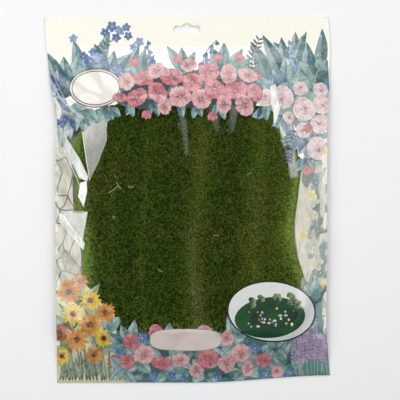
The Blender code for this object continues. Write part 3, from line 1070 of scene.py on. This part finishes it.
def lower_left_border(rng):
    """Orange and yellow composites over grass and broad pale leaves."""
    greens = ((SPRING, FERN), (SAGE, FERN), (SPRING, SAGE))
    made = []
    for at, turns in ((-134 - 150j, (60, 150)), (-112 - 150j, (30, 120)), (-140 - 184j, (60, 160)),
                      (-104 - 178j, (10, 130)), (-122 - 122j, (40, 140))):
        made += leaf_fan(rng, at, turns, (34, 30, 36, 28), 11, greens)
    made += leaf_fan(rng, -94 - 152j, (20, 100), (24, 22, 24, 20), 12, ((SEA, TEAL), (FERN, DEEP_TEAL)))
    for i in range(34):
        foot_x = -154 + 2.5 * i + rng.uniform(-1, 1)
        tip = complex(foot_x + rng.uniform(-11, 11), -180 + rng.uniform(-12, 16))
        made += bent_leaf(complex(foot_x, -212), tip, rng.uniform(-3, 3), 5.0, *rng.choice(greens), sides=4)
    orange, yellow = (RUST, MARIGOLD), (MARIGOLD, LEMON)
    for x, y, size, inks in ((-124, -94, 11, orange), (-138, -107, 16, orange), (-112, -116, 14, yellow),
                             (-94, -130, 13, orange), (-132, -132, 15, yellow), (-112, -144, 15, orange),
                             (-146, -154, 12, (RUST, RUST)), (-128, -162, 15, orange),
                             (-96, -160, 13, yellow), (-146, -182, 12, yellow), (-108, -180, 12, orange),
                             (-84, -188, 10, orange[::-1])):
        made += daisy(complex(x, y), size, rng, *inks)
    return made


def bottom_border(rng):
    """Leaves, pink and blue flowers, lavender, the bare name plate and the oval picture."""
    made = []
    for at, turns, lengths in (
            (-66 - 172j, (60, 190), (34, 30, 32, 28)), (-50 - 196j, (160, 220), (26, 24)),
            (-24 - 176j, (50, 130), (28, 32, 26)), (16 - 172j, (50, 130), (28, 30, 26)),
            (54 - 174j, (30, 150), (36, 40, 38, 30)), (74 - 196j, (20, 160), (26, 30, 28)),
            (110 - 192j, (10, 170), (28, 32, 30, 26)), (0 - 204j, (150, 200), (24, 22)),
            (40 - 206j, (-20, 40), (24, 22)), (148 - 120j, (40, 170), (26, 30, 26, 22)),
            (136 - 176j, (20, 120), (30, 34))):
        made += leaf_fan(rng, at, turns, lengths, 15)
    for i in range(13):
        made += leaf_fan(rng, complex(-74 + 16 * i, -196 + 12 * (i % 3)), (0, 360), (22, 20, 24, 22), 13,
                         ((MIST, TEAL), (SEA, TEAL), (SEA, DEEP_TEAL)))
    made += garland(rng, 0.6, (-64, -164, 12), (-70, -188, 10), (-50, -180, 14), (-36, -152, 10),
                    (-30, -190, 13), (-8, -186, 12), (10, -198, 10), (24, -184, 14), (46, -190, 13),
                    (62, -178, 12), (70, -196, 11), (88, -186, 12), (20, -150, 9), (104, -200, 9),
                    (46, -160, 10))
    for x, y, size in ((-52, -160, 7), (-18, -205, 6), (-4, -208, 5), (-40, -206, 6), (34, -206, 6),
                       (92, -205, 6), (116, -206, 6), (124, -199, 5), (78, -172, 6), (-78, -176, 6)):
        made += star(complex(x, y), size, rng, SLATE_BLUE, BELL_BLUE)
    made += plate(-2 - 162j, 41, 12.5, 0, NAME_PLATE, NAME_PLATE_RIM, 0.6, square=3.0)
    for i in range(11):
        base = complex(128 + 3.4 * i, -208)
        tip = complex(126 + 3.5 * i + rng.uniform(-4, 4), -134 + rng.uniform(-34, 8))
        made += lavender(base, tip, rng.uniform(-5, 5), rng)
    return made + garden_picture(97.5 - 129j, rng)


def front_print(rng):
    """The front panel's border, back to front, and the painted glare of the film's folds under and over it.
    """
    top = wavy([170 + 38j, 134 + 42j, 122 + 66j, 112 + 96j, 92 + 106j, 60 + 112j, 20 + 110j,
                -30 + 112j, -70 + 114j, -100 + 104j, -134 + 98j, -170 + 94j], rng, 1.6)
    foot = wavy([-172 - 92j, -120 - 98j, -86 - 128j, -80 - 150j, -40 - 152j, 10 - 148j, 40 - 156j,
                 100 - 150j, 140 - 112j, 172 - 94j], rng, 1.6)
    corner = wavy([-170 - 90j, -118 - 98j, -84 - 132j, -78 - 170j, -70 - 216j], rng, 1.5)
    made = [wash([172 + 218j, -172 + 218j] + top[::-1], CREAM),
            wash(foot + [172 - 218j, -172 - 218j], GAP_SHADE, TEAL), wash(corner + [-172 - 216j], DRY_GRASS)]
    made += left_strip(rng) + right_strip(rng) + [painted_glare(*fold) for fold in GLARE_UNDER_PRINT]
    made += header_sprays(random.Random(HEADER_SEED))
    for border in (top_left_border, top_right_border, right_border, top_border, lower_left_border,
                   bottom_border):
        made += border(rng)
    return made + [painted_glare(*fold) for fold in GLARE_OVER_PRINT]


def back_print(rng):
    """The back panel: cream ground, a bare middle, stones up one side and pale sprays up the other."""
    made = [wash([-180 - 220j, 180 - 220j, 180 + 220j, -180 + 220j], PAPER, STONE)]
    for row in range(24):
        for column in range(5):
            at = complex(-164 + 11 * column + (row % 2) * 5.5, -150 + 13 * row)
            at += complex(rng.uniform(-2, 2), rng.uniform(-2.5, 2.5))
            made.append(disc(at, rng.uniform(6.2, 8.2), rng.choice((STONE, PAPER, SAND)), STONE, sides=9,
                             flat=rng.uniform(0.66, 0.9), turn=rng.uniform(0, 180), drawn=0.75))
    for i in range(7):
        foot = complex(-158 + rng.uniform(-3, 3), -150 + 46 * i)
        made.append(stem([foot, foot + complex(9, 16), foot + complex(rng.uniform(2, 14), 36)], 1.8, TWIG))
    for i in range(13):
        foot = complex(151 + rng.uniform(-8, 6), -196 + 30 * i)
        made += leaf_fan(rng, foot, (40, 150), (26, 30, 24), 9,
                         ((MIST, TWIG), (PALE_BLUE, TWIG), (SAGE, TWIG)))
        made.append(stem([foot, foot + complex(-6, 14), foot + complex(3, 30)], 1.0, TWIG))
        for _ in range(3):
            at = foot + complex(rng.uniform(-20, 10), rng.uniform(-4, 26))
            inks = rng.choice(((LEMON, CREAM), (PALE_BLUE, PAPER), (STRAW, LEMON)))
            made += star(at, rng.uniform(5, 8), rng, *inks)
    made += plate(0 - 20j, 92, 130, 0, PAPER, TEAL, 1.2, square=5.0, sides=48)
    for i in range(11):
        for y in (150, -182):
            made += cosmos(complex(-112 + 22.4 * i, y + 5 * (i % 2)), 11, rng, ROSE, BLUSH)
    return made


# The film's mesh


def inset_ring(points, depth):
    """A ring just inside an outline, point for point."""
    ring = []
    for before, here, after in zip(points[-1:] + points[:-1], points, points[1:] + points[:1]):
        heading = after - before
        ring.append(here + 1j * depth * heading / abs(heading) if abs(heading) > 1e-6 else here)
    return np.array(ring)


def edge_distance(x, y, outline):
    """Distance of places from an outline."""
    points = np.array(outline)
    a, b = points, np.roll(points, -1)
    place = (x + 1j * y)[:, None]
    run = b - a
    size = np.maximum(np.abs(run) ** 2, 1e-12)
    t = np.clip(((place - a) * run.conj()).real / size, 0, 1)
    return np.abs(place - (a + t * run)).min(axis=1)


def inside(places, ring):
    """Which places lie inside a ring of points."""
    within = np.zeros(len(places), bool)
    near = np.nonzero((places[:, 1] > ring.imag.min()) & (places[:, 1] < ring.imag.max()))[0]
    x, y = places[near, :1], places[near, 1:]
    a, b = ring, np.roll(ring, -1)
    rise = np.where(a.imag == b.imag, 1e-9, b.imag - a.imag)
    spans = (a.imag > y) != (b.imag > y)
    crossing = a.real + (y - a.imag) * (b.real - a.real) / rise
    within[near] = (spans & (x < crossing)).sum(axis=1) % 2 == 1
    return within


def uncovered(number, rings, boxes):
    """Which stretches of a motif's outline still show once the later motifs are laid over it."""
    ring = rings[number]
    ahead = np.roll(ring, -1)
    along = np.concatenate([ring + (ahead - ring) * share for share in (0.0, 0.25, 0.5, 0.75)])
    places = np.column_stack((along.real, along.imag))
    low, high = places.min(axis=0), places.max(axis=0)
    near = ((boxes[:, :2] < high) & (boxes[:, 2:] > low)).all(axis=1)
    near[:number + 1] = False
    covered = np.zeros(len(places), bool)
    for other in np.nonzero(near)[0]:
        covered |= inside(places, rings[other])
    return ~covered.reshape(4, -1).all(axis=0)


def add_corners(corners, points):
    """Add points to a sheet's corners; gives their numbers."""
    corners += [Vector((p.real, p.imag)) for p in points]
    return range(len(corners) - len(points), len(corners))


def add_loose_corners(corners, outline, spacing):
    """Scatter points over a sheet, where no outline's own point is already near."""
    rng = random.Random(SCATTER_SEED)
    near = 0.7 * spacing
    crowded = {(v.x // near, v.y // near) for v in corners}
    xs, ys = np.array(outline).real, np.array(outline).imag
    for row in range(int((ys.max() - ys.min()) / spacing) + 1):
        for column in range(int((xs.max() - xs.min()) / spacing) + 1):
            loose = Vector((xs.min() + (column + rng.uniform(0.2, 0.8)) * spacing,
                            ys.min() + (row + rng.uniform(0.2, 0.8)) * spacing))
            if (loose.x // near, loose.y // near) not in crowded:
                corners.append(loose)


def flat_sheet(node_name, motifs, spacing):
    """The panel laid flat: triangles that follow every printed outline, with the motif on top of each."""
    outline, slot = outline_of(node_name)[:2]
    corners, edges = [], []
    faces = [list(add_corners(corners, ring)) for ring in (outline, slot[::-1])]
    rings = [np.array(shape["outline"]) for shape in motifs]
    boxes = np.array([(r.real.min(), r.imag.min(), r.real.max(), r.imag.max()) for r in rings])
    for number, (shape, ring) in enumerate(zip(motifs, rings)):
        shown = uncovered(number, rings, boxes)
        used = np.nonzero(shown | np.roll(shown, 1))[0]
        index = dict(zip(used, add_corners(corners, ring[used])))
        edges += [(index[i], index[(i + 1) % len(shown)]) for i in np.nonzero(shown)[0]]
        if shape["drawn"] > 0 and shape["breadth"] > 2.2 * RIM_MM:
            add_corners(corners, inset_ring(shape["outline"], RIM_MM)[used])
    add_loose_corners(corners, outline, spacing)
    flat, _, triangles, _, _, owners = delaunay_2d_cdt(corners, edges, faces, 0, 1e-5, True)
    # Only what lies inside the outline and outside the slot
    kept = np.array([t for t, owner in zip(triangles, owners)
                     if 0 in owner and 1 not in owner and len(t) == 3])
    places = np.array([(v.x, v.y) for v in flat])
    kept = kept[np.argsort(places[kept].mean(axis=1)[:, 0])]
    middles = places[kept].mean(axis=1)
    tops = np.full(len(kept), -1)
    for number, ring in enumerate(rings):
        first, last = np.searchsorted(middles[:, 0], (ring.real.min(), ring.real.max()))
        tops[first:last][inside(middles[first:last], ring)] = number
    return places, kept, tops


def printed(shape, x, y):
    """A motif's ink, its strength, and the share along it and across it, at places that it covers."""
    axis = shape["tip"] - shape["root"]
    offset = (x + 1j * y - shape["root"]) / axis
    along = np.clip(offset.real if shape["drawn"] else np.abs(offset), 0, 1)
    root_ink, tip_ink = (np.array(ink) for ink in shape["inks"])
    colour = root_ink + (tip_ink - root_ink) * (along[:, None] ** 0.8)
    edge = edge_distance(x, y, shape["outline"])
    if "haze" in shape:
        start, stop = shape["haze"]
        strength = start + (stop - start) * along
        if shape.get("soft"):
            strength = strength * step(edge, 0.0, shape["soft"])
    elif shape["drawn"]:
        strength = 1 - (1 - np.minimum(edge / RIM_MM, 1)) * shape["drawn"]
    else:
        strength = np.full(len(x), PLAIN)
    return colour, strength, along, offset.imag * abs(axis) / shape["breadth"]


def panel_mesh(name, places, triangles, tops, motifs, heights):
    """The panel's mesh with its inks and motif coordinates on the corners of its faces."""
    used, index = np.unique(triangles, return_inverse=True)
    triangles, places = index.reshape(-1, 3), places[used]
    mesh = bpy.data.meshes.new(name)
    verts = np.column_stack((places * MM, sampled(*heights, *(places * MM).T)))
    mesh.from_pydata(verts.tolist(), [], triangles.tolist())
    ink = np.zeros((len(triangles), 3, 4), np.float32)
    ink[..., :3] = FILM_AND_GLARE_WHITE
    local = np.zeros((len(triangles), 3, 2), np.float32)
    clear = tops < 0
    corner = places[triangles]
    for number, shape in enumerate(motifs):
        chosen = np.nonzero(tops == number)[0]
        if len(chosen) == 0:
            continue
        colour, strength, along, across = printed(shape, *corner[chosen].reshape(-1, 2).T)
        ink[chosen, :, :3] = colour.reshape(-1, 3, 3)
        ink[chosen, :, 3] = strength.reshape(-1, 3)
        local[chosen, :, 0] = along.reshape(-1, 3)
        local[chosen, :, 1] = across.reshape(-1, 3)
        # The film's painted glare and thin washes lie on its clear faces
        clear[chosen] = "haze" in shape
    mesh.color_attributes.new("ink", "FLOAT_COLOR", "CORNER").data.foreach_set("color", ink.ravel())
    mesh.uv_layers.new(name="motif").data.foreach_set("uv", local.ravel())
    mesh.polygons.foreach_set("material_index", clear.astype(np.int32))
    mesh.shade_smooth()
    mesh.update()
    return mesh


def panel(name, node_name, motifs, spacing, heights, finishes, wall, lining):
    """A panel of printed film; its underside's material follows its upper one's by lining."""
    mesh = panel_mesh(name, *flat_sheet(node_name, motifs, spacing), motifs, heights)
    obj = add_object(name, mesh, *finishes)
    solid = obj.modifiers.new("wall", "SOLIDIFY")
    solid.thickness = wall
    solid.offset = -1.0
    solid.material_offset = lining
    solid.material_offset_rim = lining
    select(obj)
    bpy.ops.object.modifier_apply(modifier=solid.name)
    return obj


def front_panel(*finishes):
    """The bag's front panel, in its inks, the film's outer face and its inner face."""
    xs, ys, field = front_field()
    obj = panel("front_panel", "bag_front", front_print(random.Random(FRONT_SEED)), FRONT_SPACING,
                (field, xs, ys), finishes, FRONT_WALL, 1)
    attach(obj, "root")
    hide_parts("bag_front")


def back_panel(*finishes):
    """The bag's back panel, in its inks."""
    xs, ys = grid(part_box("bag_back"), BACK_MARGIN)
    form = seen_from_above(solid_tree("bag_back"), xs, ys)[0]
    obj = panel("back_panel", "bag_back", back_print(random.Random(BACK_SEED)), BACK_SPACING,
                (form, xs, ys), finishes, BACK_WALL, 0)
    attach(obj, "root")
    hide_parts("bag_back")


# The mat


def mat_surface():
    """The mat's outer skin as triangles: corners, corner normals, areas, and which side each is on."""
    bm = merged_copy("moss_mat")
    bmesh.ops.triangulate(bm, faces=bm.faces)
    bm.normal_update()
    low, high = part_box("moss_mat")
    middle = (low.z + high.z) / 2
    corners, normals, sides = [], [], []
    for face in bm.faces:
        n, c = face.normal, face.calc_center_median()
        if n.z > 0.35 and c.z > middle:
            side = FACE
        elif n.z < -0.35 and c.z < low.z + FLAPS_BELOW:
            side = FLAPS
        elif abs(n.y) > 0.8:
            side = ENDS
        elif abs(n.x) > 0.2 and n.x * c.x > 0 and abs(c.x) > 0.02:
            side = FOLDS
        else:
            continue
        corners.append([v.co[:] for v in face.verts])
        normals.append([(n if side == ENDS else v.normal)[:] for v in face.verts])
        sides.append(side)
    bm.free()
    corners = np.array(corners)
    area = np.linalg.norm(np.cross(corners[:, 1] - corners[:, 0], corners[:, 2] - corners[:, 0]), axis=1)
    return corners, np.array(normals), area, np.array(sides)


def tuft_places(rng, x, y, width, length):
    """Which tuft each blade is in, for tufts of about this width and length."""
    column = np.floor((x + rng.normal(0, 0.16 * width, len(x))) / width).astype(int)
    row = np.floor((y + rng.normal(0, 0.16 * length, len(x))) / length).astype(int)
    return column % TUFT_TABLE, row % TUFT_TABLE


def pile_tone(rng, x, y, fold_light_share, tuft, chances):
    """How light each blade is: its own chance, its tuft, painted light and shade of the nap in bands down the
    mat, and painted light near the open folds.
    """
    tone = rng.normal(0.09, 0.06, len(x))
    tone += 0.95 * np.clip(chances[0][tuft], -0.6, 1.6)
    tone += 0.02 * chances[1][tuft_places(rng, x, y, 0.0026, 0.0060)]
    tone += 0.015 * chances[2][tuft_places(rng, x, y, 0.0075, 0.0150)]
    # Painted light and shade of the nap, in bands down the mat
    for place, width, light in NAP_SHADE_BANDS:
        tone += light * np.exp(-((x / MM - place - 4 * np.sin(y * 21)) / width) ** 2)
    tone += 0.03 * np.sin(x * 95 + 2.2 * np.sin(y * 47)) * np.sin(y * 63 + 1.7)
    tone = np.minimum(tone * (1 - 0.5 * fold_light_share) + 0.75 * fold_light_share, LIGHTEST_TONE)
    # A few stray pale blades
    stray = rng.random(len(x)) < STRAY_SHARE
    tone[stray] = rng.uniform(0.88, 1.0, stray.sum())
    return np.clip(tone, 0, 1)


def fold_share(skin):
    """How near each place is to the mat's side folds, where the pile stands open and painted light makes it
    lighter.
    """
    low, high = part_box("moss_mat")
    share = np.zeros(len(skin))
    row = np.clip(np.searchsorted(np.linspace(low.y, high.y, FOLD_ROWS), skin[:, 1]), 1, FOLD_ROWS - 1)
    for i in range(1, FOLD_ROWS):
        here = row == i
        if here.any():
            x = skin[here, 0]
            inward = np.minimum(x - x.min(), x.max() - x) / MM
            share[here] = np.clip(1 - inward / FOLD_REACH_MM, 0, 1) ** 1.8
    return share


def rooted(rng, surface, side, count):
    """Random places on one side of the mat's skin, and the way up at each."""
    corners, normals, area, sides = surface
    chosen = np.nonzero(sides == side)[0]
    pick = rng.choice(chosen, count, p=area[chosen] / area[chosen].sum())
    a, b = rng.random((2, count))
    over = a + b > 1
    a[over], b[over] = 1 - a[over], 1 - b[over]
    weights = np.stack((1 - a - b, a, b), axis=1)[..., None]
    skin, up = ((values[pick] * weights).sum(axis=1) for values in (corners, normals))
    return skin, up / np.linalg.norm(up, axis=1)[:, None]


def blade_mesh(name, verts, colour):
    """Single triangles, with a colour on each of their corners."""
    count = len(verts)
    mesh = bpy.data.meshes.new(name)
    mesh.vertices.add(count * 3)
    mesh.vertices.foreach_set("co", verts.ravel())
    mesh.loops.add(count * 3)
    mesh.loops.foreach_set("vertex_index", np.arange(count * 3, dtype=np.int32))
    mesh.polygons.add(count)
    mesh.polygons.foreach_set("loop_start", np.arange(0, count * 3, 3, dtype=np.int32))
    mesh.update(calc_edges=True)
    mesh.color_attributes.new("blade", "FLOAT_COLOR", "POINT").data.foreach_set("color", colour.ravel())
    return mesh


def blades(name, surface, side, count, seed, finish):
    """One piece of the pile: single blades rooted under the mat's skin, their tips just below it."""
    rng = np.random.default_rng(seed)
    skin, up = rooted(rng, surface, side, count)
    x, y = skin[:, 0], skin[:, 1]
    depth = PILE_DEPTH * rng.uniform(0.75, 1.0, count)
    if side == ENDS:
        depth *= ENDS_DEPTH_SHARE
    # Each blade leans its tuft's way and down the nap
    chances = np.random.default_rng(TUFT_SEED).normal(0, 1, (4, TUFT_TABLE, TUFT_TABLE))
    tuft = tuft_places(rng, x, y, TUFT, TUFT * 1.15)
    around = 2.6 * chances[3][tuft] + rng.normal(0, 0.55, count)
    nap = np.stack((0.25 * np.sin(x * 60), np.full(count, -0.35), np.zeros(count)), axis=1)
    lean = np.stack((np.cos(around), np.sin(around), 0.4 * np.sin(around * 3)), axis=1) + nap
    lean -= up * (lean * up).sum(axis=1)[:, None]
    lean /= np.linalg.norm(lean, axis=1)[:, None] + 1e-9
    slope = rng.uniform(0.2, 0.9, count)
    tip = skin - up * (rng.random(count) ** 2 * 0.0012)[:, None]
    root = tip - up * depth[:, None] - lean * (depth * slope)[:, None]
    turn = rng.uniform(-0.9, 0.9, count)[:, None]
    half = BLADE_WIDTH * rng.uniform(0.7, 1.25, count)[:, None] / 2
    across = (np.cross(up, lean) * np.cos(turn) + up * np.sin(turn)) * half
    verts = np.stack((root - across, root + across, tip), axis=1).astype(np.float32)
    verts[..., 2] = np.maximum(verts[..., 2], PILE_FLOOR)
    # Its tone, its height from root to tip for the painted shade at the root, and its share of painted light
    # near the folds
    fold_light_share = fold_share(skin)
    colour = np.zeros((count, 3, 4), np.float32)
    colour[..., 0] = pile_tone(rng, x, y, fold_light_share, tuft, chances)[:, None]
    colour[:, 2, 1] = 1.0
    colour[..., 2] = fold_light_share[:, None]
    colour[..., 3] = 1.0
    obj = add_object(name, blade_mesh(name, verts, colour), finish)
    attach(obj, "root")
    return obj


def mat_backing(finish):
    """The mat under its pile: the solid's form, drawn in to the pile's roots."""
    bm = merged_copy("moss_mat")
    low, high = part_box("moss_mat")
    middle = (low.z + high.z) / 2
    for vert in bm.verts:
        n, c = vert.normal, vert.co
        if (n.z > 0.2 and c.z > middle) or (n.z < -0.2 and c.z < middle - 0.003) or n.x * c.x > 0:
            vert.co = c - n * PILE_DEPTH * BACKING_DEPTH_SHARE
    mesh = bpy.data.meshes.new("mat_backing")
    bm.to_mesh(mesh)
    bm.free()
    mesh.shade_smooth()
    obj = add_object("mat_backing", mesh, finish)
    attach(obj, "root")
    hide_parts("moss_mat")
    return obj


def fibre(surface, places):
    """One loose fibre, laid on the pile along places of the photograph."""
    select()
    bpy.ops.curve.primitive_nurbs_path_add(location=(0, 0, 0))
    path = bpy.context.object
    curve = path.data
    curve.splines.clear()
    spline = curve.splines.new("NURBS")
    spline.points.add(len(places) - 1)
    spline.use_endpoint_u = True
    spline.order_u = 3
    for point, place in zip(spline.points, places):
        on_print = photo_place(*place) * MM
        top = surface.ray_cast(Vector((on_print.real, on_print.imag, SKY)), DOWN)[0]
        point.co = (top.x, top.y, top.z - FIBRE_SINK, 1.0)
    curve.bevel_depth = FIBRE_RADIUS
    curve.bevel_resolution = 1
    curve.use_fill_caps = True
    select(path)
    bpy.ops.object.convert(target="MESH")
    return path


def loose_fibres(finish):
    """A few pale fibres that lie loose on the pile."""
    surface = solid_tree("moss_mat")
    made = [fibre(surface, places) for places in FIBRES]
    select(*made)
    bpy.ops.object.join()
    obj = bpy.context.object
    obj.name = "loose_fibres"
    obj.data.materials.clear()
    obj.data.materials.append(finish)
    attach(obj, "root")
    return obj


def moss():
    """The whole mat."""
    pile = pile_material()
    backing = mat_backing(backing_material())
    surface = mat_surface()
    on_it = [blades(name, surface, *measures, pile) for name, measures in PILE_PIECES.items()]
    on_it.append(loose_fibres(plain_material("loose fibre", srgb(236, 232, 186), 0.5)))


# Studio


def light_tent():
    """A world that is brighter round the sides than overhead."""
    world = bpy.data.worlds.new("light tent")
    world.use_nodes = True
    tree = world.node_tree
    split = add_node(tree, "SeparateXYZ", {0: add_node(tree, "TexCoord").outputs["Generated"]})
    strength = ranged(tree, split.outputs[2], 0.80, 0.97, 0.64, 0.12)
    plug(tree, tree.nodes["Background"], {"Strength": strength})
    return world


def studio():
    """Pale floor, soft lamps round the pack and the camera straight above it."""
    scene = bpy.context.scene
    scene.view_settings.view_transform = "Standard"
    select()
    bpy.ops.mesh.primitive_plane_add(size=FLOOR_SIZE, location=(0, 0, FLOOR_HEIGHT))
    floor = bpy.context.object
    floor.name = "floor"
    floor.data.materials.append(plain_material("floor paper", (0.90, 0.90, 0.91), 0.8))
    scene.world = light_tent()
    for name, (place, size, power) in LAMPS.items():
        bpy.ops.object.light_add(type="AREA", location=place)
        lamp = bpy.context.object
        lamp.name = name
        lamp.data.shape = "RECTANGLE"
        lamp.data.size, lamp.data.size_y = size
        lamp.data.energy = power
        lamp.rotation_euler = Vector(place).to_track_quat("Z", "Y").to_euler()
    middle = photo_place(PHOTO_SIZE / 2, PHOTO_SIZE / 2) * MM
    bpy.ops.object.camera_add(location=(middle.real, middle.imag, CAMERA_HEIGHT), rotation=(0, 0, 0))
    camera = bpy.context.object
    camera.data.sensor_width = SENSOR
    camera.data.lens = SENSOR * (CAMERA_HEIGHT - FOCUS_HEIGHT) / (PHOTO_SIZE * PIXEL)
    scene.camera = camera


studio()
wrinkles = film_wrinkle_group()
watercolour = watercolour_group()
front_panel(ink_material("printed film", watercolour, wrinkles, 0.0), outer_film(wrinkles),
            clear_film("clear film inside")[0])
back_panel(ink_material("printed back film", watercolour, wrinkles, 0.3))
moss()
